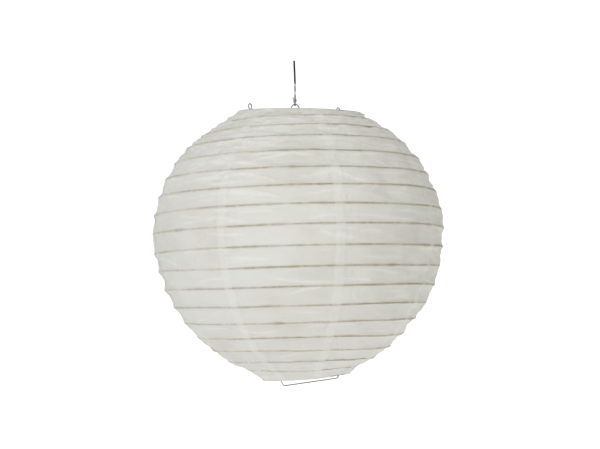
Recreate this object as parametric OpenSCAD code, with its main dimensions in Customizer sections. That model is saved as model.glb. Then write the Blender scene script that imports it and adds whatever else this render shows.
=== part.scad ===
// Accordion paper lantern: a folding paper shell on bamboo hoops, held open by a bent wire expander.
// Millimetres, +Z up. The origin is the top end of the hanging wire, and the expander lies in the XZ plane.

/* [Paper shell] */
// Diameter of the widest bamboo hoop
shell_d = 400; // [360:5:440]
// Height of the upper half of the shell's outline, if it were closed
upper_rise = 178; // [165:1:190]
// Depth of the lower half of the shell's outline, if it were closed
lower_drop = 202; // [190:1:215]
// Angle of the top ring above the widest level
top_angle = 64.9; // [62:0.1:66]
// Angle of the bottom ring below the widest level
bottom_angle = 73; // [72:0.1:75]
// Step of angle between two hoops below the widest one
lower_step = 7.5; // [7.4:0.05:7.6]
// How far the expander draws the top ring up out of the outline
top_push = 5; // [3:0.5:6]
// How far it presses the bottom ring down out of the outline
bottom_push = 6; // [4:0.5:7]
// Thickness of one layer of paper, drawn thicker than the real sheet
paper_t = 0.4; // [0.3:0.05:0.6]
// Paper gores round the shell
gores = 8; // [6:2:10]
// Width of the pasted overlap between two gores
gore_lap = 10; // [6:1:14]
// Direction of the first pasted seam, from +X
first_seam = 19; // [0:1:44]

/* [Bamboo hoops] */
// Thickness of a hoop
hoop_d = 2; // [1.6:0.1:2.4]
// Length over which the two ends of a hoop lie side by side
hoop_lap = 16; // [10:1:24]
// Turn from one hoop's joint to the next one's
lap_step = 224; // [0:1:359]

/* [Wire parts] */
// Thickness of the wire of the expander and the end rings
wire_d = 1.7; // [1.5:0.1:2]
// Distance from the lantern's middle to a leg of the expander
leg_x = 56; // [54:0.5:56]
// Radius of the arch that the lantern hangs by
arch_r = 8; // [7:0.5:9]
// Height of the arch above the crossbar
arch_h = 9; // [9:0.5:12]
// Radius of the eye at each end of the crossbar
eye_r = 3.6; // [3.2:0.1:4]
// Half length of the bar at the bottom
bar_x = 48; // [44:1:50]
// Depth of that bar below the bottom ring
bar_drop = 9; // [8:0.5:12]

/* [Hanging wire] */
// Length from the free end down to the arch
hang_len = 61.7; // [58:0.1:66]
// Outer diameter of the black sleeve
sleeve_d = 2.6; // [2.4:0.1:2.8]
// Length of the black sleeve
sleeve_len = 33; // [32:1:38]

/* [Hidden] */
$fn = 96;
ribs = 17;
bands = ribs + 1;
wire_r = wire_d / 2;
hoop_r = hoop_d / 2;
bend_r = 1.5;            // bends of the expander, along the wire's middle
bend_steps = 4;          // facets round such a bend
sides = 12;              // and round the wire there
widest = 8;              // the widest hoop
gap = 0.35;              // air between parts of different bodies
hair = 0.05;             // air between pasted layers, so that each stays its own solid
hem_t = 0.5;             // paper folded round an end ring
hem_flap = 11;           // how far it is turned in
hem_clear = 3;           // bare wire beyond each end of a ring's lap
strand_r = 0.7;          // one strand of the hanging wire
hook_r = 2.1;            // the loop that the strand makes round the arch
ring_splice = -41;       // direction in which the two ends of each end ring meet
ring_lap = 15;

arch_z = -hang_len;
bar_z = arch_z - arch_h;                                   // crossbar
top_z = bar_z - 2 * wire_r - hem_t - gap;                  // top ring, under the crossbar
centre_z = top_z - top_push - upper_rise * sin(top_angle); // widest level
neck_x = ring_r(0) - 2 * wire_r - hem_t - gap;             // the wire passes down inside the top ring
leg_top = top_z - 32;                                      // the straight part of a leg
leg_foot = ring_z(bands) + 16;

// End rings are numbers 0 and bands, and the bamboo hoops lie between them at steps of angle.
function ring_t(i) =
    i < widest ? top_angle * (1 - i / widest)
    : i < bands ? -lower_step * (i - widest)
    : -bottom_angle;
function ring_r(i) = shell_d / 2 * cos(ring_t(i));
function push(i) = i == 0 ? top_push : i == bands ? -bottom_push : 0;
function ring_z(i) = centre_z + push(i) + (ring_t(i) > 0 ? upper_rise : lower_drop) * sin(ring_t(i));
function ring_at(i) = [ring_r(i), ring_z(i)];
function body_r(i) = i == 0 || i == bands ? wire_r + hem_t : hoop_r;

function unit(v) = v / norm(v);
function outward(v) = [-v[1], v[0]];

// The round bend of a wire at p, on its way from a to b
function bend(a, p, b) =
    let (
        u = unit(p - a),
        v = unit(b - p),
        turn = acos(u * v),
        side = u[0] * v[1] - u[1] * v[0] > 0 ? 1 : -1,
        start = p - u * bend_r * tan(turn / 2),
        middle = start + side * bend_r * outward(u),
        first = atan2(start[1] - middle[1], start[0] - middle[0])
    )
    [for (k = [0:bend_steps]) middle + bend_r * turned(first + side * turn * k / bend_steps)];

// A path bent round at each point between its ends
function rounded(points) = concat(
    [points[0]],
    [for (i = [1:len(points) - 2]) each bend(points[i - 1], points[i], points[i + 1])],
    [points[len(points) - 1]]
);

function turned(angle) = [cos(angle), sin(angle)];
function two(n) = n < 10 ? str("0", n) : str(n);

// ---- shared shapes ----

// A straight piece of wire from p to q
module rod(p, q, r) {
    v = q - p;
    translate(p)
        rotate([0, acos(v[2] / norm(v)), atan2(v[1], v[0])])
            cylinder(h = norm(v), r = r);
}

// Wire in the XZ plane, swept along a path of [x, z] points
module bent_wire(path) {
    last = len(path) - 1;
    skin = [
        for (i = [0:last])
            let (across = outward(unit(path[min(i + 1, last)] - path[max(i - 1, 0)])))
                for (j = [0:sides - 1])
                    let (out = path[i] + across * wire_r * cos(360 * j / sides))
                        [out[0], wire_r * sin(360 * j / sides), out[1]]
    ];
    walls = [
        for (i = [0:last - 1], j = [0:sides - 1])
            let (k = (j + 1) % sides)
                [i * sides + j, i * sides + k, (i + 1) * sides + k, (i + 1) * sides + j]
    ];
    ends = [
        [for (j = [sides - 1:-1:0]) j],
        [for (j = [0:sides - 1]) last * sides + j]
    ];
    polyhedron(skin, concat(walls, ends));
}

// Part of a ring about Z, of round section
module arc(ring, r, from = 0, sweep = 360) {
    rotate([0, 0, from])
        rotate_extrude(angle = sweep)
            translate([ring, 0])
                circle(r = r);
}

// A hoop whose second end lies on the inner side of the first
module lapped_hoop(ring, r, lap, towards) {
    turn = lap / ring * 180 / PI;
    arc(ring, r);
    arc(ring - 1.8 * r, r, towards - turn / 2, turn);
}

// ---- hanging wire ----

module hanging_wire() {
    color("#77777a") {
        rod([-0.35, 0, 0], [-0.35, 0, arch_z + hook_r], strand_r);
        rod([0.85, 0, -sleeve_len - 2], [0.85, 0, arch_z + hook_r], strand_r);
        translate([0, 0, arch_z])
            rotate([0, 90, 0])
                arc(hook_r, strand_r);
    }
}

module wire_sleeve() {
    color("#151515")
        difference() {
            translate([0, 0, -sleeve_len])
                cylinder(h = sleeve_len, d = sleeve_d);
            translate([-0.35, 0, -sleeve_len - 1])
                cylinder(h = sleeve_len + 2, r = strand_r + hair);
        }
}

// Three tight turns that lock the two strands above the arch, with the cut end standing off
module wire_twist() {
    turn_r = 1.6 + hair + strand_r * 0.8;
    color("#6c6c6e") {
        for (k = [0:2])
            translate([0.25, 0, arch_z + hook_r + 2 + k * 1.2])
                arc(turn_r, strand_r * 0.8);
        rod(
            [0.25 - turn_r, 0, arch_z + hook_r + 4.4],
            [-3.2, 1, arch_z + hook_r + 6.6],
            strand_r * 0.8
        );
    }
}

// ---- expander ----

module crossbar() {
    arch_side = arch_h - arch_r;
    end_x = neck_x - eye_r;
    color("#6f6f72")
        bent_wire(concat(
            rounded([[-end_x, bar_z], [-arch_r, bar_z], [-arch_r, bar_z + bend_r + 0.1]]),
            [for (a = [170:-10:10]) [0, bar_z + arch_side] + arch_r * turned(a)],
            rounded([[arch_r, bar_z + bend_r + 0.1], [arch_r, bar_z], [end_x, bar_z]])
        ));
}

// The loop where the wire turns from the crossbar into a leg. It stands over the top ring.
module right_eye() {
    color("#6f6f72") {
        rod([neck_x - eye_r, 0, bar_z], [neck_x, 0, bar_z], wire_r);
        translate([neck_x, 0, bar_z + eye_r])
            rotate([90, 0, 0])
                arc(eye_r, wire_r, -90, 300);
    }
}

module left_eye() {
    mirror([1, 0, 0])
        right_eye();
}

// The wire passes down inside the top ring, goes out under it and comes back to the leg.
module shoulder(s) {
    color("#6f6f72")
        bent_wire(rounded([
            [s * neck_x, bar_z],
            [s * neck_x, top_z - 1.9],
            [s * (ring_r(0) + 1.6), top_z - 3.6],
            [s * leg_x, top_z - 26],
            [s * leg_x, leg_top],
        ]));
}

module leg(s) {
    color("#6f6f72")
        rod([s * leg_x, 0, leg_top], [s * leg_x, 0, leg_foot], wire_r);
}

// The bend that presses on the bottom ring, and the corner to the bottom bar
module foot(s) {
    low_z = ring_z(bands);
    color("#6f6f72")
        bent_wire(rounded([
            [s * leg_x, leg_foot],
            [s * leg_x, low_z + 10],
            [s * (ring_r(bands) + 1), low_z + 5],
            [s * bar_x, low_z - bar_drop],
            [s * (bar_x - 3), low_z - bar_drop],
        ]));
}

module bottom_bar() {
    x = bar_x - 3;
    z = ring_z(bands) - bar_drop;
    color("#6f6f72")
        rod([-x, 0, z], [x, 0, z], wire_r);
}

// ---- paper shell ----

module end_ring(i) {
    color("#8a8a8c")
        translate([0, 0, ring_z(i)])
            lapped_hoop(ring_r(i), wire_r, ring_lap, ring_splice);
}

module rib(i) {
    color("#b39a6b")
        translate([0, 0, ring_z(i)])
            lapped_hoop(ring_r(i), hoop_r, hoop_lap, 179 + lap_step * (i - 8));
}

// The gore ends, folded round an end ring and turned in. other is the next hoop.
module hem(i, other) {
    along = ring_at(other) - ring_at(i);
    flap_y = i == 0 ? 0.5 : -0.9;
    bare = (ring_lap + 2 * hem_clear) / ring_r(i) * 180 / PI;
    color("#e8e5da")
        rotate(ring_splice + bare / 2)
            rotate_extrude(angle = 360 - bare)
                translate(ring_at(i))
                    rotate(atan2(along[1], along[0])) {
                        difference() {
                            circle(r = wire_r + hem_t);
                            circle(r = wire_r + hair);
                        }
                        translate([1, flap_y])
                            square([hem_flap - 1, 0.4]);
                    }
}

// One band of paper between ring i - 1 and ring i: a strip of each gore, lapped alternately
module paper(i) {
    upper = ring_at(i - 1);
    lower = ring_at(i);
    along = unit(lower - upper);
    face = outward(along);
    inset = 0.2;
    step = 360 / gores;
    for (k = [0:gores - 1]) {
        lift = k % 2 == 0 ? 0 : paper_t + hair;
        a = upper + face * (body_r(i - 1) + 0.15 + lift) + along * inset;
        b = lower + face * (body_r(i) + 0.15 + lift) - along * inset;
        lap = gore_lap / ((upper[0] + lower[0]) / 2) * 180 / PI;
        color("#eceadf")
            rotate([0, 0, first_seam + k * step - lap / 2])
                rotate_extrude(angle = step + lap)
                    polygon([a, b, b + face * paper_t, a + face * paper_t]);
    }
}

hanging_wire();
wire_sleeve();
wire_twist();
crossbar();
left_eye();
right_eye();
shoulder(-1);  // left_shoulder
shoulder(1);  // right_shoulder
leg(-1);  // left_leg
leg(1);  // right_leg
foot(-1);  // left_foot
foot(1);  // right_foot
bottom_bar();
end_ring(0);  // top_ring
hem(0, 1);  // top_hem
for (i = [1:ribs])
    rib(i);
for (i = [1:bands])
    paper(i);
end_ring(bands);  // bottom_ring
hem(bands, ribs);  // bottom_hem
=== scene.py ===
from math import atan2, cos, degrees, pi, radians, sin, sqrt, tau

import bmesh
import bpy
import numpy as np
from mathutils import Matrix, Vector


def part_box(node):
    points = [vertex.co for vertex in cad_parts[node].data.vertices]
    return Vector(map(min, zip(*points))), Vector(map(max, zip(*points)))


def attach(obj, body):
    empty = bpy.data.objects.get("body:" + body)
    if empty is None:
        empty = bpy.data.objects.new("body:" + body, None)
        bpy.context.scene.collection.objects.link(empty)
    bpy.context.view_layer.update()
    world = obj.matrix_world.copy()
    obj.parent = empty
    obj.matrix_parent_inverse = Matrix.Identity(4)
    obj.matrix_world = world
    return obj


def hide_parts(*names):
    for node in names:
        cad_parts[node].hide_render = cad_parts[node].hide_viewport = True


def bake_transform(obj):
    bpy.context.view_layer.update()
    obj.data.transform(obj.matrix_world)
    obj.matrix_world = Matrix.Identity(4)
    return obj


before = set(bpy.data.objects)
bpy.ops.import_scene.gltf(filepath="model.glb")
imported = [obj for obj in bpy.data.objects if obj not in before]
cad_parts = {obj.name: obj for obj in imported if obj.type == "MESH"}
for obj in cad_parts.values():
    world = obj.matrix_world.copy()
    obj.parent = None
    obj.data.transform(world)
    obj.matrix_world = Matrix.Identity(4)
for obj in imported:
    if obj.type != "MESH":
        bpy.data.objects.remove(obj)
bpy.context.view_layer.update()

hoopCount = sum(name.startswith("rib_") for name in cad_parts)
ringNodes = ["top_ring"] + [f"rib_{n:02d}" for n in range(1, hoopCount + 1)] + ["bottom_ring"]
ringBodies = ["expander"] + [f"hoop_{n:02d}" for n in range(1, hoopCount + 1)] + ["bottom_end"]
lastRing = len(ringNodes) - 1


# radius, height and half thickness of a ring, and where its two ends lie side by side
def measureRing(node):
    low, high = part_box(node)
    half = (high.z - low.z) / 2
    radius = high.x - half
    inner = [v.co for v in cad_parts[node].data.vertices if v.co.xy.length < radius - 1.3 * half]
    middle = sum(inner, Vector()) / max(1, len(inner))
    return {"radius": radius, "z": (low.z + high.z) / 2, "half": half, "joint": atan2(middle.y, middle.x)}


# all lengths are metres, and directions count in degrees from +X round +Z
rings = [measureRing(node) for node in ringNodes]
wireHalf = rings[0]["half"]
widest = max(range(lastRing), key=lambda k: rings[k]["radius"])
shellMiddle = Vector((0, 0, rings[widest]["z"]))

camera = {
    "azimuth": -41,          # degrees round from the front
    "distance": 1.9387,
    "lens": 84,
    "sensor": 36,
    "below": 0.0978,         # how far the eye is below the widest hoop
    "aimUp": 0.0103,
    "aimSide": 0.0027,
    "roll": -1.4,            # degrees
}


def placeCamera(c):
    turn = radians(c["azimuth"])
    toEye = Vector((sin(turn), -cos(turn), 0))
    side = Vector((cos(turn), sin(turn), 0))
    eye = shellMiddle + toEye * c["distance"] - Vector((0, 0, c["below"]))
    aim = shellMiddle + Vector((0, 0, c["aimUp"])) + side * c["aimSide"]
    data = bpy.data.cameras.new("camera")
    data.lens = c["lens"]
    data.sensor_width = c["sensor"]
    data.clip_end = 50
    cam = bpy.data.objects.new("camera", data)
    bpy.context.scene.collection.objects.link(cam)
    look = (aim - eye).to_track_quat("-Z", "Y").to_matrix().to_4x4()
    cam.matrix_world = Matrix.Translation(eye) @ look @ Matrix.Rotation(radians(c["roll"]), 4, "Z")
    bpy.context.scene.camera = cam


placeCamera(camera)
bpy.context.scene.view_settings.view_transform = "Standard"
print("camera placed")


def makePiece(name, points, faces, material, uvs=None):
    mesh = bpy.data.meshes.new(name)
    mesh.from_pydata([tuple(p) for p in points], [], [tuple(f) for f in faces])
    mesh.materials.append(material)
    mesh.polygons.foreach_set("use_smooth", [True] * len(mesh.polygons))
    if uvs is not None:
        layer = mesh.uv_layers.new(name="UVMap")
        flat = np.asarray(uvs, np.float32)
        loops = np.zeros(len(mesh.loops), np.int32)
        mesh.loops.foreach_get("vertex_index", loops)
        layer.data.foreach_set("uv", flat[loops].ravel())
    mesh.update()
    piece = bpy.data.objects.new(name, mesh)
    bpy.context.scene.collection.objects.link(piece)
    return piece


def paint(piece, name, values):
    layer = piece.data.attributes.new(name, "FLOAT", "POINT")
    layer.data.foreach_set("value", np.asarray(values, np.float32))


# smooth noise from -1 to 1 that closes round the lantern: around and along are cell counts
def patchyNoise(seed, around, along):
    grid = np.random.RandomState(seed).rand(around, along + 1) * 2 - 1

    def sample(turn, height):
        u = (turn / tau % 1) * around
        v = np.clip(height, 0, 0.99999) * along
        a, b = np.floor(u).astype(int), np.floor(v).astype(int)
        fu, fv = u - a, v - b
        fu, fv = fu * fu * (3 - 2 * fu), fv * fv * (3 - 2 * fv)
        a0, a1, b1 = a % around, (a + 1) % around, b + 1
        low = grid[a0, b] * (1 - fu) + grid[a1, b] * fu
        high = grid[a0, b1] * (1 - fu) + grid[a1, b1] * fu
        return low * (1 - fv) + high * fv

    return sample


# points, faces and uvs of a tube. radius is a number or one per point, and flat squeezes it sideways
def sweepTube(path, radius, sides=10, flat=1.0, taper=0.0):
    path = [Vector([float(c) for c in p]) for p in path]
    count = len(path)
    radii = [radius] * count if isinstance(radius, float) else [float(r) for r in radius]
    if taper:
        for k in range(3):
            radii[k] *= 1 - taper * (3 - k) / 3
            radii[-1 - k] *= 1 - taper * (3 - k) / 3
    tangents = []
    for k in range(count):
        before, after = path[max(k - 1, 0)], path[min(k + 1, count - 1)]
        tangents.append((after - before).normalized())
    side = tangents[0].orthogonal().normalized()
    if abs(tangents[0].z) < 0.9:
        side = Vector((0, 0, 1)).cross(tangents[0]).normalized()
    points, uvs, run = [], [], 0.0
    for k in range(count):
        side = (side - tangents[k] * side.dot(tangents[k])).normalized()
        up = tangents[k].cross(side)
        if k:
            run += (path[k] - path[k - 1]).length
        for j in range(sides):
            a = tau * j / sides
            points.append(path[k] + radii[k] * (side * cos(a) * flat + up * sin(a)))
            uvs.append((run, j / sides))
    faces = []
    for k in range(count - 1):
        here, there = k * sides, (k + 1) * sides
        for j in range(sides):
            n = (j + 1) % sides
            faces.append((here + j, here + n, there + n, there + j))
    faces.append(tuple(reversed(range(sides))))
    faces.append(tuple((count - 1) * sides + j for j in range(sides)))
    return points, faces, uvs


# a polyline through the corners, cut into steps and rounded off by averaging
def smoothPath(corners, step, soften=2):
    corners = [Vector(c) for c in corners]
    points = [corners[0]]
    for a, b in zip(corners, corners[1:]):
        parts = max(1, round((b - a).length / step))
        points += [a.lerp(b, k / parts) for k in range(1, parts + 1)]
    for _ in range(soften):
        inner = [(points[k - 1] + points[k] * 2 + points[k + 1]) / 4 for k in range(1, len(points) - 1)]
        points = [points[0]] + inner + [points[-1]]
    return points


# a Principled material with a few short words for adding nodes
class Finish:
    def __init__(self, name, **sockets):
        self.material = bpy.data.materials.new(name)
        self.material.use_nodes = True
        self.tree = self.material.node_tree
        self.skin = self.tree.nodes["Principled BSDF"]
        self.output = self.tree.nodes["Material Output"]
        for socket, value in sockets.items():
            self.skin.inputs[socket.replace("_", " ")].default_value = value

    def node(self, kind, **settings):
        made = self.tree.nodes.new(kind)
        for key, value in settings.items():
            setattr(made, key, value)
        return made

    def join(self, a, b):
        self.tree.links.new(a, b)

    def noise(self, where, scale, detail=3, stretch=(1, 1, 1), roughness=0.5):
        spread = self.node("ShaderNodeMapping")
        spread.inputs["Scale"].default_value = stretch
        self.join(where, spread.inputs["Vector"])
        made = self.node("ShaderNodeTexNoise")
        made.inputs["Scale"].default_value = scale
        made.inputs["Detail"].default_value = detail
        made.inputs["Roughness"].default_value = roughness
        self.join(spread.outputs["Vector"], made.inputs["Vector"])
        return made.outputs["Fac"]

    def spread(self, value, low, high, toLow=0.0, toHigh=1.0):
        made = self.node("ShaderNodeMapRange")
        made.inputs["From Min"].default_value = low
        made.inputs["From Max"].default_value = high
        made.inputs["To Min"].default_value = toLow
        made.inputs["To Max"].default_value = toHigh
        self.join(value, made.inputs["Value"])
        return made.outputs["Result"]

    def sum(self, a, b, kind="ADD"):
        made = self.node("ShaderNodeMath", operation=kind)
        for k, part in enumerate((a, b)):
            if isinstance(part, (int, float)):
                made.inputs[k].default_value = part
            else:
                self.join(part, made.inputs[k])
        return made.outputs[0]

    def blend(self, share, a, b):
        made = self.node("ShaderNodeMix", data_type="RGBA")
        self.join(share, made.inputs["Factor"])
        colours = [s for s in made.inputs if s.type == "RGBA"]
        for socket, part in zip(colours, (a, b)):
            if isinstance(part, tuple):
                socket.default_value = (*part, 1)
            else:
                self.join(part, socket)
        return [s for s in made.outputs if s.type == "RGBA"][0]

    def painted(self, name):
        made = self.node("ShaderNodeAttribute", attribute_name=name)
        return made.outputs["Fac"]

    def bump(self, height, depth, strength=1.0):
        made = self.node("ShaderNodeBump")
        made.inputs["Distance"].default_value = depth
        made.inputs["Strength"].default_value = strength
        self.join(height, made.inputs["Height"])
        self.join(made.outputs["Normal"], self.skin.inputs["Normal"])
        return made.outputs["Normal"]


paperFinish = {
    "sheet": (0.785, 0.785, 0.755),
    "shade": (0.715, 0.71, 0.665),
    "lapped": (0.86, 0.86, 0.835),
    "worn": (0.88, 0.88, 0.86),
    # painted cream highlight, where the paper bulges over a hoop and catches the light
    "paintedHighlight": (0.785, 0.765, 0.68),
    "bamboo behind": (0.35, 0.30, 0.205),
    "roughness": 0.78,
    "light through": 0.22,   # share of the light that comes through the sheet
    "clouds": 14,            # patches of shade, each noise in cells per metre
    "fibres": 160,
    "flecks": 900,
    "grain": 320,
    "depth": 0.0004,
}


def makePaper(p):
    f = Finish("rice_paper", Roughness=p["roughness"], Specular_IOR_Level=0.25, Sheen_Weight=0.15)
    place = f.node("ShaderNodeTexCoord").outputs["Object"]
    cloud = f.noise(place, p["clouds"], 3)
    fleck = f.noise(place, p["flecks"], 2, (1, 1, 0.5))
    fibre = f.noise(place, p["fibres"], 4, (1, 1, 5), 0.62)
    colour = f.blend(f.spread(cloud, 0.35, 0.7), p["sheet"], p["shade"])
    dull = f.sum(f.spread(fibre, 0.35, 0.75), 0.35, "MULTIPLY")
    colour = f.blend(dull, colour, p["shade"])
    colour = f.blend(f.sum(f.painted("lapped"), 0.4, "MULTIPLY"), colour, p["lapped"])
    colour = f.blend(f.sum(f.painted("worn"), 0.55, "MULTIPLY"), colour, p["worn"])
    grain = f.spread(f.noise(place, p["grain"], 2), 0.2, 0.65, 0.72, 1.0)
    # painted cream highlight in a band beside each bamboo hoop, patchy with the clouds
    highlightShare = f.sum(f.painted("paintedHighlight"), f.spread(cloud, 0.3, 0.6, 0.3, 0.8), "MULTIPLY")
    colour = f.blend(highlightShare, colour, p["paintedHighlight"])
    # the bamboo seen through the paper, its lines darkened by painted shade on the side away from the key
    # light
    behind = f.sum(f.painted("hoop"), grain, "MULTIPLY")
    colour = f.blend(behind, colour, p["bamboo behind"])
    f.join(colour, f.skin.inputs["Base Color"])
    height = f.sum(f.sum(fibre, 0.7, "MULTIPLY"), f.sum(fleck, 0.3, "MULTIPLY"))
    normal = f.bump(height, p["depth"], 0.5)
    through = f.node("ShaderNodeBsdfTranslucent")
    f.join(colour, through.inputs["Color"])
    f.join(normal, through.inputs["Normal"])
    both = f.node("ShaderNodeMixShader")
    both.inputs["Fac"].default_value = p["light through"]
    f.join(f.skin.outputs[0], both.inputs[1])
    f.join(through.outputs[0], both.inputs[2])
    f.join(both.outputs[0], f.output.inputs["Surface"])
    return f.material


bambooFinish = {
    "dark": (0.38, 0.29, 0.165),
    "light": (0.57, 0.46, 0.29),
    "stain": (0.30, 0.20, 0.10),
    "depth": 0.0002,
}


def makeBamboo(b):
    f = Finish("split_bamboo", Roughness=0.55)
    run = f.node("ShaderNodeTexCoord").outputs["UV"]
    grain = f.noise(run, 60, 4, (1, 30, 1), 0.6)
    stain = f.noise(run, 9, 2, (1, 1, 1))
    colour = f.blend(f.spread(grain, 0.3, 0.7), b["dark"], b["light"])
    colour = f.blend(f.spread(stain, 0.55, 0.75), colour, b["stain"])
    f.join(colour, f.skin.inputs["Base Color"])
    f.join(f.spread(grain, 0.2, 0.8, 0.42, 0.7), f.skin.inputs["Roughness"])
    f.bump(grain, b["depth"], 0.6)
    return f.material


wireFinish = {
    "dull": (0.30, 0.30, 0.31),
    "bright": (0.46, 0.46, 0.455),
    "drawn": (0.16, 0.15, 0.14),   # the fine lines along the wire
    "depth": 0.00008,
}


def makeWire(w):
    f = Finish("galvanised_wire", Metallic=1.0, Roughness=0.4)
    run = f.node("ShaderNodeTexCoord").outputs["UV"]
    place = f.node("ShaderNodeTexCoord").outputs["Object"]
    drawn = f.noise(run, 40, 3, (1, 40, 1), 0.6)
    bloom = f.noise(place, 180, 3)
    colour = f.blend(f.spread(bloom, 0.35, 0.7), w["dull"], w["bright"])
    colour = f.blend(f.spread(drawn, 0.62, 0.78), colour, w["drawn"])
    f.join(colour, f.skin.inputs["Base Color"])
    f.join(f.spread(bloom, 0.3, 0.75, 0.34, 0.6), f.skin.inputs["Roughness"])
    f.bump(drawn, w["depth"], 0.5)
    return f.material


sleeveFinish = {
    "black": (0.008, 0.008, 0.009),
    "scuffed": (0.035, 0.034, 0.033),
    "depth": 0.0001,
}


def makeSleeve(b):
    f = Finish("black_sleeve", Roughness=0.5, Specular_IOR_Level=0.3)
    run = f.node("ShaderNodeTexCoord").outputs["UV"]
    place = f.node("ShaderNodeTexCoord").outputs["Object"]
    scuff = f.noise(place, 420, 3)
    line = f.noise(run, 50, 2, (1, 14, 1))
    colour = f.blend(f.spread(scuff, 0.5, 0.8), b["black"], b["scuffed"])
    f.join(colour, f.skin.inputs["Base Color"])
    f.join(f.spread(line, 0.3, 0.7, 0.48, 0.72), f.skin.inputs["Roughness"])
    f.bump(scuff, b["depth"], 0.5)
    return f.material


paperSkin = makePaper(paperFinish)
bamboo = makeBamboo(bambooFinish)
steel = makeWire(wireFinish)
sleeveBlack = makeSleeve(sleeveFinish)
print("materials made")

# an end ring rocks and slides a little on the expander, and takes the nearest hoops along
slack = {
    "topRise": (0.0163, 0.0786),    # per metre towards +X and +Y
    "topShift": (0.0005, -0.010),   # towards +X and +Y
    "topWider": (0, -0.0012),       # out and up, of the whole end ring
    "bottomRise": (0.055, -0.020),
    "bottomShift": (0.015, 0.0065),
    "bottomWider": (0.0012, -0.0004),
    "share": (1, 0.16, 0.04),       # of the end ring, of the next hoop, of the one after
    "wobbleUp": 0.0009,             # how far any hoop strays from its true circle
    "wobbleOut": 0.0007,
}
riseNoise = patchyNoise(11, 9, lastRing)
outNoise = patchyNoise(12, 7, lastRing)


# the outward direction of the band between rings a and b, as (out, up)
def outlineNormal(a, b):
    out = rings[b]["radius"] - rings[a]["radius"]
    up = rings[b]["z"] - rings[a]["z"]
    size = sqrt(out * out + up * up)
    return -up / size, out / size


bandNormals = [None] + [outlineNormal(k - 1, k) for k in range(1, lastRing + 1)]


def ringNormal(k):
    near = [bandNormals[j] for j in (k, k + 1) if 1 <= j <= lastRing]
    out, up = (sum(n[c] for n in near) / len(near) for c in (0, 1))
    size = sqrt(out * out + up * up)
    return out / size, up / size


# points of ring k in the given directions, as an array with one row each
def ringLine(k, turn, outBy=0.0, upBy=0.0):
    ring = rings[k]
    radius = ring["radius"] + slack["wobbleOut"] * outNoise(turn, k / lastRing + 0 * turn) + outBy
    x, y = radius * np.cos(turn), radius * np.sin(turn)
    z = ring["z"] + slack["wobbleUp"] * riseNoise(turn, k / lastRing + 0 * turn) + upBy
    for end, steps in (("top", k), ("bottom", lastRing - k)):
        share = slack["share"][steps] if steps < 3 else 0
        rise, shift, wider = (slack[end + way] for way in ("Rise", "Shift", "Wider"))
        z = z + share * (rise[0] * x + rise[1] * y + wider[1])
        grow = 1 + share * wider[0] / ring["radius"]
        x, y = grow * x + share * shift[0], grow * y + share * shift[1]
    return np.stack([x, y, z + 0 * x], -1)


def facing(turn, normal):
    return np.stack([np.cos(turn) * normal[0], np.sin(turn) * normal[0], normal[1] + 0 * turn], -1)


paper = {
    "seams": (152, 200, 244.4, 291, 338, 22, 67, 109),   # directions of the pasted seams
    "lap": 0.0105,
    "lift": 0.0003,          # of the upper sheet over the lower one
    "column": 0.0019,        # spacing of the mesh round the lantern
    "clear": 0.00012,        # from a hoop to the paper
    "torn": (252, 318, 0.13),   # directions of the torn edge at the bottom ring, and how much is gone
    "shadedSide": 300,         # direction away from the key light, in which painted shade darkens the hoop lines most
    "sag": 0.0021,           # how far a band hollows between its hoops
    "fuller": 0.35,          # share of that in the two lowest bands
    "broad": 0.0019,         # three sizes of waves in the sheet
    "streak": 0.0016,
    "pucker": 0.00055,
    "hoopLine": 0.0014,      # half width of the bamboo's line through the paper
    # half width of the painted cream highlight beside a hoop
    "highlightLine": 0.0028,
    "creaseHalf": 0.0026,    # half width of a crease
    "creaseHigh": 0.0016,
    "handDepth": 1.7,        # of the listed creases
    "seamPucker": 0.022,     # how far the puckers reach from a seam
    "lapStep": 0.0016,       # over which the sheet climbs on the next one
    "wander": 0.0007,        # of a cut edge
    "rows": (0, 0.5, 1.0, 1.6, 2.4, 3.4, 4.8, 6.4, 8.2, 10.2),   # mm from a hoop, on to the middle
}
broadNoise = patchyNoise(21, 46, lastRing * 2)
streakNoise = patchyNoise(22, 70, lastRing * 6)
puckerNoise = patchyNoise(23, 420, lastRing * 3)
patchNoise = patchyNoise(24, 22, lastRing)
tintNoise = patchyNoise(25, 130, lastRing)
tightNoise = patchyNoise(26, 24, lastRing)

# creases listed one by one: band, from and to in degrees, from and to across the band, bow, and height
# in creaseHigh
facingWay = camera["azimuth"] - 90
creases = [
    (4, -44, -14, 0.95, 0.62, -0.55, 0.9),
    (4, -40, -20, 0.7, 0.5, -0.35, -0.5),
    (2, -32, -10, 0.25, 0.7, -0.2, 0.7),
    (2, -26, 4, 0.8, 0.45, -0.25, 0.6),
    (3, 12, 34, 0.3, 0.95, -0.25, 0.8),
    (4, 14, 40, 0.25, 0.85, -0.3, 0.8),
    (5, -52, -30, 0.85, 0.5, -0.3, 0.7),
    (6, -30, -8, 0.3, 0.75, -0.2, 0.6),
    (7, -26, -6, 0.2, 0.7, -0.15, 0.6),
    (1, -10, 30, 0.7, 0.6, -0.3, 0.6),
    (6, 16, 30, 0.2, 0.9, 0.1, 0.5),
    (9, 8, 22, 0.3, 0.7, 0.1, 0.4),
    (11, -12, 14, 0.5, 0.8, 0.12, 0.45),
    (14, -34, -12, 0.3, 0.6, 0.2, 0.5),
    (17, -8, 22, 0.7, 0.35, -0.2, 0.6),
    (17, -50, -20, 0.3, 0.8, 0.2, 0.6),
    (18, -60, -30, 0.6, 0.3, 0.2, 0.8),
]


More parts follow.
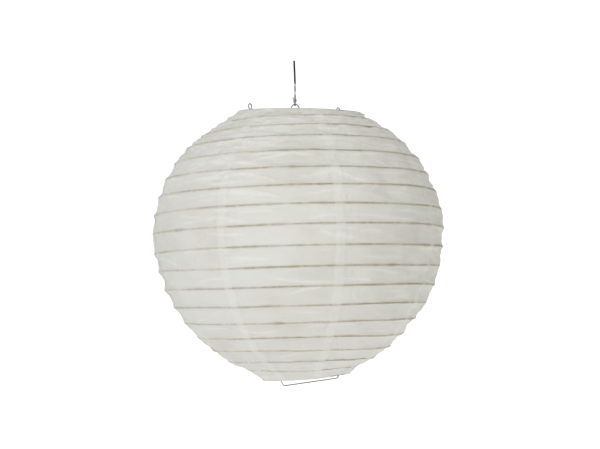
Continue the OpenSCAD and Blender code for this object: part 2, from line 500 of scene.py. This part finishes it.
def looseCreases(seed, count, steep, high):
    rng = np.random.RandomState(seed)
    made = []
    for _ in range(count):
        band = int(min(lastRing, 1 + abs(rng.randn()) * 6))
        start = rng.uniform(0, 360)
        long = rng.uniform(8, 28) * (1.7 if band < 4 else 1)
        a = rng.uniform(0.12, 0.88)
        b = np.clip(a + rng.uniform(-steep, steep), 0.1, 0.9)
        bow = rng.uniform(-0.35, 0.15) * steep
        depth = rng.uniform(0.35, 1) * high * rng.choice((-1, 1, 1))
        made.append((band, start, start + long, a, b, bow, depth))
    return made


creases = [(*crease[:6], crease[6] * paper["handDepth"]) for crease in creases]
creases += looseCreases(31, 110, 0.8, 0.9) + looseCreases(32, 300, 0.25, 0.6)


# how high the creases stand at each point of a band, in metres
def creaseHeight(band, turn, down, slant):
    total = np.zeros(turn.shape)
    for which, first, last, start, end, bow, high in creases:
        if which != band:
            continue
        a, b = radians(facingWay + first), radians(facingWay + last)
        u = ((turn - a) % tau) / (b - a)
        u = np.where(u > 1.5, 9, u)
        line = start + (end - start) * u + bow * 4 * u * (1 - u)
        off = np.abs(down - line) * slant / paper["creaseHalf"]
        ends = np.clip(4 * u * (1 - u), 0, 1) ** 0.5
        ridge = high * paper["creaseHigh"] * np.clip(1 - off, 0, 1) ** 1.5 * ends
        total += np.where((u > 0) & (u < 1), ridge, 0)
    return total


# the straight distance from ring band - 1 to ring band
def slantOf(band):
    out = rings[band]["radius"] - rings[band - 1]["radius"]
    up = rings[band]["z"] - rings[band - 1]["z"]
    return sqrt(out * out + up * up)


# where a band's rows lie from 0 to 1, close together beside the hoops
def bandRows(slant):
    near = [r * 0.001 / slant for r in paper["rows"] if r * 0.001 < slant * 0.42]
    return np.array(near + [0.5] + [1 - r for r in reversed(near)])


# how strongly the bamboo shows through the paper at a distance from hoop k, with painted shade that
# darkens the lines on the side away from the key light
def hoopShade(k, turn, away):
    if k in (0, lastRing):
        return 0.25 * np.exp(-(away / 0.0009) ** 2)
    ring = rings[k]
    off = (turn - ring["joint"] + pi) % tau - pi
    atJoint = np.exp(-((off * ring["radius"] / 0.009) ** 2))
    level = k / lastRing + 0 * turn
    width = paper["hoopLine"] * (1 + 0.6 * atJoint + 0.25 * tintNoise(turn, level))
    near = 0.56 + 0.26 * tightNoise(turn, level) + 0.16 * tintNoise(turn * 2, level)
    # painted shade: the lines darken towards the shaded side, away from the key light
    near += 0.28 * np.cos(turn - radians(paper["shadedSide"]))
    return np.clip(near + 0.3 * atJoint, 0.2, 1) * np.exp(-(away / width) ** 2)


# points of the paper between rings band - 1 and band. down goes from 0 to 1
def bandSurface(band, turn, down, lifted):
    normal = bandNormals[band]
    slant = slantOf(band)
    ends = []
    for k in (band - 1, band):
        reach = rings[k]["half"] + paper["clear"]
        ends.append(ringLine(k, turn) + facing(turn, ringNormal(k)) * reach)
    level = (band - 1 + down) / lastRing
    window = np.clip(4 * down * (1 - down), 0, 1)
    upper = max(0.4, 1.3 - band / lastRing * 1.3)
    sag = paper["sag"] * (paper["fuller"] if band > lastRing - 2 else 1)
    hollow = sag * (1 + 0.3 * patchNoise(turn, level)) * (1 - np.abs(2 * down - 1) ** 2.6)
    nearSeam = np.zeros(turn.shape)
    for seam in paper["seams"]:
        off = (turn - radians(seam) + pi) % tau - pi
        reached = off * rings[band]["radius"] / paper["seamPucker"]
        nearSeam = np.maximum(nearSeam, np.exp(-(reached ** 2)))
    relief = paper["broad"] * broadNoise(turn, level) + paper["streak"] * upper * streakNoise(turn, level)
    busy = np.clip(patchNoise(turn * 3, level), 0, 1) * 0.9 + 0.15 + nearSeam
    relief += paper["pucker"] * busy * puckerNoise(turn, level)
    creased = creaseHeight(band, turn, down, slant)
    toHoop = np.minimum(down, 1 - down) * slant
    bend = rings[band]["half"] + paper["clear"]
    wrapped = np.sqrt(np.clip(bend ** 2 - toHoop ** 2, 0, None)) - bend
    out = (relief + creased) * window ** 0.6 - hollow
    out = np.where(toHoop < bend * 0.8, np.maximum(out, wrapped), out) + lifted
    points = ends[0] * (1 - down)[..., None] + ends[1] * down[..., None]
    points = points + facing(turn, normal) * out[..., None]
    shade = np.maximum(
        hoopShade(band - 1, turn, down * slant), hoopShade(band, turn, (1 - down) * slant)
    )
    toHoop = np.minimum(down + (band == 1), 1 - down + (band == lastRing)) * slant
    # painted cream highlight in a band beside each bamboo hoop, not beside the end rings
    highlighted = np.exp(-((toHoop / paper["highlightLine"]) ** 2)) * (0.75 + 0.25 * tintNoise(turn, level))
    return points, shade, creased, highlighted


# share of the last band that is missing along the torn edge
def looseEdge(turn):
    first, last, share = paper["torn"]
    u = ((degrees(1) * turn - first) % 360) / (last - first)
    ragged = 0.8 + 0.2 * tintNoise(turn * 3, 0.5 + 0 * turn)
    return np.where(u < 1, share * ragged * np.clip(8 * u * (1 - u), 0, 1) ** 0.5, 0)


def seamPairs():
    seams = sorted(paper["seams"])
    return list(zip(seams, seams[1:] + [seams[0] + 360]))


def makeBand(band):
    points, faces, shades, laps, worn, paintedHighlight = [], [], [], [], [], []
    edgeNoise = patchyNoise(40 + band, 900, 2)
    slant = slantOf(band)
    rows = bandRows(slant)
    middle = (rings[band]["radius"] + rings[band - 1]["radius"]) / 2
    lapTurn = paper["lap"] / middle
    for first, last in seamPairs():
        columns = max(24, round(radians(last - first) * middle / paper["column"]))
        rowGrid = rows[:, None] + np.zeros(columns + 1)[None, :]
        wander = paper["wander"] / middle * edgeNoise(radians(first) + rowGrid * 0.4, rowGrid)
        start = radians(first) - lapTurn / 2 + wander
        end = radians(last) + lapTurn / 2 + wander
        share = np.linspace(0, 1, columns + 1)
        edge = lapTurn / (radians(last - first) + lapTurn)
        share = np.interp(share, [0, 0.06, 0.94, 1], [0, edge * 1.15, 1 - edge * 1.15, 1])
        turn = start + (end - start) * share[None, :]
        if band == lastRing:
            rowGrid = rowGrid * (1 - looseEdge(turn))
        climb = paper["lapStep"] / middle
        over = np.clip((turn - (radians(last) - lapTurn / 2 - climb)) / climb, 0, 1)
        grid, shade, creased, highlighted = bandSurface(band, turn, rowGrid, over * paper["lift"])
        under = turn < radians(first) + lapTurn / 2
        lapped = np.maximum(over, under.astype(float))
        shade = shade * (1 - 0.5 * lapped)
        base = len(points)
        height, width = grid.shape[:2]
        points += list(grid.reshape(-1, 3))
        shades += list(shade.ravel())
        laps += list(lapped.ravel())
        paintedHighlight += list(highlighted.ravel())
        worn += list(np.clip(np.abs(creased) / 0.0006, 0, 1).ravel())
        for r in range(height - 1):
            for c in range(width - 1):
                k = base + r * width + c
                faces.append((k, k + width, k + width + 1, k + 1))
    piece = makePiece(f"paper_band_{band:02d}", points, faces, paperSkin)
    for mark, amounts in (("hoop", shades), ("lapped", laps), ("worn", worn), ("paintedHighlight", paintedHighlight)):
        paint(piece, mark, amounts)
    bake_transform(piece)
    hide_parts(f"paper_{band:02d}")


for band in range(1, lastRing + 1):
    makeBand(band)
print("paper bands made")

hem = {
    "depth": (0.011, 0.0017),   # of the top tabs, and of the bottom ones, which fold flat under a hoop
    "ply": 0.00022,          # from the ring to the middle of the paper
    "gap": 2.2,              # degrees between two tabs
    "bare": 0.0105,          # from the middle of a ring's lap to the paper
    "columns": 60,
}


# the gore ends, turned in over an end ring: one tab for each gore
def makeHem(name, k, torn=None):
    points, faces = [], []
    normal = bandNormals[max(k, 1)]
    toBand = -1 if k else 1
    along = (toBand * normal[1], -toBand * normal[0])
    reach = rings[k]["half"] + hem["ply"]
    depth = hem["depth"][k > 0]
    rag = patchyNoise(60 + k, 160, 2)
    for first, last in seamPairs():
        ends = radians(first + hem["gap"] / 2), radians(last - hem["gap"] / 2)
        turns = np.linspace(*ends, hem["columns"])
        profile = []
        for step in range(13):
            a = pi / 2 + pi * step / 12
            profile.append((reach * cos(a), reach * sin(a)))
        for share in (0.12, 0.25, 0.4, 0.6, 0.8, 1.0):
            s = share * depth
            rise = reach - paper["sag"] * 1.25 * min(1, s / 0.008) - 0.0006
            profile.append((s, -reach + (rise + reach) * min(1, share * 2.2)))
        base = len(points)
        joint = (turns - rings[k]["joint"] + pi) % tau - pi
        covered = np.abs(joint) * rings[k]["radius"] > hem["bare"]
        if torn:
            covered &= (degrees(1) * turns - torn[0]) % 360 > torn[1] - torn[0]
        for row, (a, o) in enumerate(profile):
            grow = 1 + 0.12 * rag(turns, 0.5 + 0 * turns) if a > 0.55 * depth else 1
            out = a * grow * along[0] + o * normal[0]
            up = a * grow * along[1] + o * normal[1]
            crinkle = 0.00012 * rag(turns * 3, row / len(profile) + 0 * turns)
            points += list(ringLine(k, turns, out + crinkle, up + crinkle))
        width = len(turns)
        for r in range(len(profile) - 1):
            for c in range(width - 1):
                m = base + r * width + c
                if covered[c] and covered[c + 1]:
                    faces.append((m, m + 1, m + width + 1, m + width))
    piece = makePiece(name, points, faces, paperSkin)
    # the hem tabs get a light even wash of the painted cream highlight
    for mark, amount in (("hoop", 0.0), ("lapped", 0.6), ("worn", 0.3), ("paintedHighlight", 0.3)):
        paint(piece, mark, [amount] * len(points))
    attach(piece, ringBodies[k])
    return piece


topHem = makeHem("top_hem_tabs", 0)
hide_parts("top_hem")
bottomHem = makeHem("bottom_hem_tabs", lastRing, paper["torn"])
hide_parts("bottom_hem")
print("hems made")

hoop = {
    "steps": 260,
    "sides": 10,
    "lap": 0.016,            # over which its two ends lie side by side
    "uneven": 0.09,          # share of the thickness
    "knots": 3,              # swellings where the cane had a node
}


def makeHoop(k):
    ring = rings[k]
    rng = np.random.RandomState(80 + k)
    lapTurn = hoop["lap"] / ring["radius"]
    start = ring["joint"] - lapTurn / 2
    turns = np.linspace(start, start + tau + lapTurn, hoop["steps"])
    share = np.linspace(0, 1, hoop["steps"])
    fromStart = (turns - start) / lapTurn
    toEnd = (turns[-1] - turns) / lapTurn
    inward = np.clip(1.6 - toEnd, 0, 1)
    low = np.clip(1.8 - fromStart, 0, 1) - np.clip(1.8 - toEnd, 0, 1)
    path = ringLine(k, turns, -inward * 1.5 * ring["half"], low * 0.45 * ring["half"])
    thick = 1 + hoop["uneven"] * patchyNoise(90 + k, 40, 1)(turns, 0.5 + 0 * turns)
    for _ in range(hoop["knots"]):
        thick += 0.2 * np.exp(-(((share - rng.rand()) * tau * ring["radius"] / 0.003) ** 2))
    thick *= np.clip(0.45 + np.minimum(fromStart, toEnd) * 1.6, 0, 1)
    radii = list(np.minimum(thick, 1.15) * ring["half"] * 0.92)
    points, faces, uvs = sweepTube(path, radii, hoop["sides"], flat=0.85)
    piece = makePiece(f"bamboo_hoop_{k:02d}", points, faces, bamboo, uvs)
    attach(piece, ringBodies[k])
    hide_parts(ringNodes[k])


for k in range(1, lastRing):
    makeHoop(k)
print("bamboo hoops made")

wire = {
    "sides": 14,
    "step": 0.0022,          # spacing of the mesh along it
    "archRadius": 0.008,
    "eyeSide": 0.00088,      # how far the eye's two ends lie apart
    "eyeNarrow": 0.86,
    "sway": 0.0012,          # a leg is never quite straight
    "lean": 2.3,             # degrees, the foot towards +X
    "drift": 0.003,          # and how much more the legs bend that way
    "lift": 0.0004,          # how far the bow of the crossbar stands up in its middle
    "ringLap": 0.018,
    "topKick": (0.0062, -0.0006),   # how far a ring's outer end stands off, out and up
    "bottomKick": (0.0006, 0.0004),
    "barEnds": (0.0515, 0.048),   # left and right of the middle
}


# a wire ring whose two ends lie side by side, the outer one turned a little away
def makeEndRing(name, k, kick):
    ring = rings[k]
    lapTurn = wire["ringLap"] / ring["radius"]
    start = ring["joint"] - lapTurn / 2
    turns = np.linspace(start, start + tau + lapTurn, 200)
    toStart = (turns - start) / lapTurn
    toEnd = (turns[-1] - turns) / lapTurn
    inward = np.clip(1.5 - toStart, 0, 1) * 1.75 * ring["half"]
    away = np.clip(0.22 - toEnd, 0, 1) / 0.22
    path = ringLine(k, turns, -inward + away ** 2 * kick[0], away ** 2 * kick[1])
    points, faces, uvs = sweepTube(path, ring["half"] * 0.98, wire["sides"], taper=0.25)
    piece = makePiece(name, points, faces, steel, uvs)
    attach(piece, ringBodies[k])
    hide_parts(ringNodes[k])


makeEndRing("top_ring_wire", 0, wire["topKick"])
makeEndRing("bottom_ring_wire", lastRing, wire["bottomKick"])


# the middle line of the expander, all the way round from the middle of the bottom bar
def expanderLine():
    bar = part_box("crossbar")
    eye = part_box("right_eye")
    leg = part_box("right_leg")
    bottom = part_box("bottom_bar")
    barZ = bar[0].z + wireHalf
    archTop = bar[1].z - wireHalf
    archR = wire["archRadius"]
    legX = (leg[0].x + leg[1].x) / 2
    lowZ = (bottom[0].z + bottom[1].z) / 2
    ringZ, ringR = rings[-1]["z"], rings[-1]["radius"] + slack["bottomWider"][0]
    topZ, topR = rings[0]["z"], rings[0]["radius"]
    eyeR = (eye[1].z - eye[0].z) / 2 - wireHalf
    eyeMid = Vector((eye[1].x - wireHalf - eyeR - 0.0011, 0, barZ + eyeR))
    neckAt = eyeMid.x

    # from the bottom bar's middle up one side to the middle of the arch
    def half(s):
        lean = 0.0015 * s
        corners = [
            (-0.0006 * s, 0, lowZ),
            (wire["barEnds"][s > 0] * s, 0, lowZ + 0.0006 * s),
            ((ringR - 0.0002) * s, 0, ringZ + 0.004),
            (legX * s, 0, ringZ + 0.011),
            (legX * s + lean * 0.6, wire["sway"] * 0.6, ringZ + 0.09),
            (legX * s - lean * 0.5, -wire["sway"] * 0.4, (ringZ + topZ) / 2),
            (legX * s, wire["sway"] * 0.3, topZ - 0.07),
            (legX * s, 0, topZ - 0.026),
            ((topR + 0.0016) * s, 0, topZ - 0.0046),
            (eyeMid.x * s, 0, topZ - 0.0029),
            (eyeMid.x * s, 0, barZ - 0.0002),
        ]
        line = smoothPath(corners, wire["step"], 1)
        loop = []
        for step in range(25):
            a = -pi / 2 + tau * step / 24
            side = wire["eyeSide"] * (step / 12 - 1)
            across = eyeMid.x - eyeR * wire["eyeNarrow"] * cos(a)
            loop.append(Vector((s * across, side * s, eyeMid.z + eyeR * 1.06 * sin(a))))
        line = line[:-1] + loop
        inward = [
            loop[-1],
            (s * (eyeMid.x - 0.012), 0.0002 * s, barZ + 0.0001),
            (s * (archR + 0.0012), 0, barZ),
        ]
        inner = smoothPath(inward, wire["step"], 1)
        arch = [Vector((s * (archR + 0.0002), 0, barZ + 0.0012))]
        for step in range(13):
            a = radians(5 + 85 * step / 12)
            arch.append(Vector((s * archR * cos(a), 0, archTop - archR + archR * sin(a))))
        return line + inner[1:] + arch

    right, left = half(1), half(-1)
    turn = radians(wire["lean"])
    leaning = []
    for p in right + list(reversed(left[:-1])):
        down = p.z - archTop
        drift = wire["drift"] * (down / (lowZ - archTop)) ** 2
        leaning.append(Vector((p.x * cos(turn) - down * sin(turn) + drift, p.y, 0)))
        leaning[-1].z = archTop + down * cos(turn) + p.x * sin(turn)
        if down > -0.015:
            leaning[-1].z += wire["lift"] * max(0, 1 - (p.x / neckAt) ** 2)
    return leaning


def makeExpander():
    line = expanderLine()
    clean = [line[0]]
    for p in line[1:]:
        if (p - clean[-1]).length > 0.0004:
            clean.append(p)
    points, faces, uvs = sweepTube(clean, wireHalf * 0.99, wire["sides"])
    piece = makePiece("expander_wire", points, faces, steel, uvs)
    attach(piece, "expander")
    halves = ("eye", "shoulder", "leg", "foot")
    bends = [f"{side}_{part}" for side in ("left", "right") for part in halves]
    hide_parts("crossbar", "bottom_bar", *bends)


makeExpander()
print("expander made")

hanger = {
    "strand": 0.0007,        # half thickness of the bright wire
    "pitch": 0.024,          # of the twisted pair
    "turns": 3,              # locking turns above the arch
    "hook": 0.0018,          # radius of the loop round the arch
    "bend": 0.0006,          # the sleeve is not quite straight
}


def makeHanger():
    sleeveLow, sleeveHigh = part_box("wire_sleeve")
    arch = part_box("crossbar")[1].z - wireHalf + wire["lift"]
    sleeveHalf = (sleeveHigh.x - sleeveLow.x) / 2
    h = hanger

    def lean(z):
        share = z / sleeveLow.z
        return h["bend"] * sin(min(share, 1.7) * pi * 0.6)

    # black sleeve
    steps = 40
    path = [(lean(sleeveLow.z * k / steps), 0, sleeveLow.z * k / steps) for k in range(steps + 1)]
    rub = np.random.RandomState(5).rand(steps + 1)
    radii = [sleeveHalf * (1.0 + 0.035 * r) for r in rub]
    radii[0] *= 0.86
    radii[-1] *= 0.8
    points, faces, uvs = sweepTube(path, radii, 18)
    sleeve = makePiece("sleeved_wire", points, faces, sleeveBlack, uvs)
    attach(sleeve, "hanger")
    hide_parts("wire_sleeve")

    # the bright pair below it, twisted, with a loop round the arch
    top, low = sleeveLow.z + 0.003, arch + h["hook"] + 0.0007
    pair = []
    for s in (0, 1):
        strand = []
        parts = 70
        for k in range(parts + 1):
            z = top + (low - top) * k / parts
            a = (top - z) / h["pitch"] * tau + pi * s
            tight = min(1, (z - low) / 0.002 + 0.75)
            off = h["strand"] * 1.02 * tight
            strand.append(Vector((lean(z) + off * cos(a), off * sin(a), z)))
        pair.append(strand)
    a = atan2(pair[0][-1].y, pair[0][-1].x)
    loop = []
    for k in range(1, 28):
        b = radians(62 - (360 - 56) * k / 28)
        loop.append(Vector((0.0004 * (k / 14 - 1), h["hook"] * cos(b), arch + h["hook"] * sin(b))))
    front, back = sorted(pair, key=lambda line: -line[-1].y)
    points, faces, uvs = sweepTube(front + loop + list(reversed(back)), h["strand"], 12)
    hook = makePiece("hooked_wire_pair", points, faces, steel, uvs)
    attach(hook, "hanger")
    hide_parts("hanging_wire")

    # locking turns, and the cut end
    coil = []
    base = low + 0.0006
    around = h["strand"] * 2.7
    for k in range(h["turns"] * 18 + 1):
        b = tau * k / 18 + 2.2
        coil.append(Vector((around * cos(b), around * sin(b), base + k / 18 * h["strand"] * 2.05)))
    end = coil[-1]
    out = Vector((-0.8, 0.25, 0)).normalized()
    coil += [end + out * 0.0008 + Vector((0, 0, 0.0008)), end + out * 0.0019 + Vector((0, 0, 0.0022))]
    points, faces, uvs = sweepTube(coil, h["strand"] * 0.95, 12)
    twist = makePiece("locking_turns", points, faces, steel, uvs)
    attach(twist, "hanger")
    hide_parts("wire_twist")


makeHanger()
print("hanging wire made")

studio = {
    "floor": -2.6,
    "wide": 9,
    "high": 8,
    "cove": 3.4,             # where the floor starts to curve up behind the lantern
    "coveRadius": 1.6,
    "white": 0.93,
    "glow": 0.57,
    "sky": 0.4,
    "key": (-22, 0.8, 2.3, 1.2, 26.6, (1, 1, 0.99)),   # azimuth, up, away, size, power, colour
    "fill": (62, 0.1, 2.6, 1.6, 6, (1, 0.93, 0.68)),
    "top": (-10, 2.1, 0.9, 1.0, 8, (1, 0.99, 0.97)),
}


def makeStage(s):
    f = Finish("studio_white", Roughness=0.9)
    place = f.node("ShaderNodeTexCoord").outputs["Object"]
    tone = f.noise(place, 1.5, 2)
    colour = f.blend(tone, (s["white"],) * 3, (s["white"] * 0.985,) * 3)
    f.join(colour, f.skin.inputs["Base Color"])
    f.join(colour, f.skin.inputs["Emission Color"])
    f.skin.inputs["Emission Strength"].default_value = s["glow"]
    bm = bmesh.new()
    w = s["wide"]
    outline = [(depth, s["floor"]) for depth in (-w, -3, 0, s["cove"])]
    r = s["coveRadius"]
    for a in np.linspace(0.15, pi / 2, 12):
        outline.append((s["cove"] + r * sin(a), s["floor"] + r * (1 - cos(a))))
    outline.append((s["cove"] + r, s["floor"] + s["high"]))
    rows = [[bm.verts.new((side, depth, z)) for side in (-w, w)] for depth, z in outline]
    for a, b in zip(rows, rows[1:]):
        bm.faces.new((a[0], a[1], b[1], b[0]))
    mesh = bpy.data.meshes.new("backdrop")
    bm.to_mesh(mesh)
    bm.free()
    mesh.materials.append(f.material)
    mesh.polygons.foreach_set("use_smooth", [True] * len(mesh.polygons))
    floor = bpy.data.objects.new("backdrop", mesh)
    bpy.context.scene.collection.objects.link(floor)
    floor.rotation_euler.z = radians(camera["azimuth"])


# a soft light that looks at the shell. azimuth is counted from the camera's own, to its right
def addLight(name, azimuth, up, away, size, power, colour):
    turn = radians(camera["azimuth"] + azimuth)
    data = bpy.data.lights.new(name, "AREA")
    data.size = size
    data.energy = power
    data.color = colour
    light = bpy.data.objects.new(name, data)
    bpy.context.scene.collection.objects.link(light)
    light.location = shellMiddle + Vector((sin(turn) * away, -cos(turn) * away, up))
    light.rotation_euler = (shellMiddle - light.location).to_track_quat("-Z", "Y").to_euler()


makeStage(studio)
for name in ("key", "fill", "top"):
    addLight(name, *studio[name])
world = bpy.data.worlds.new("studio")
bpy.context.scene.world = world
world.use_nodes = True
world.node_tree.nodes["Background"].inputs["Color"].default_value = (1, 1, 1, 1)
world.node_tree.nodes["Background"].inputs["Strength"].default_value = studio["sky"]
print("stage and lights set")
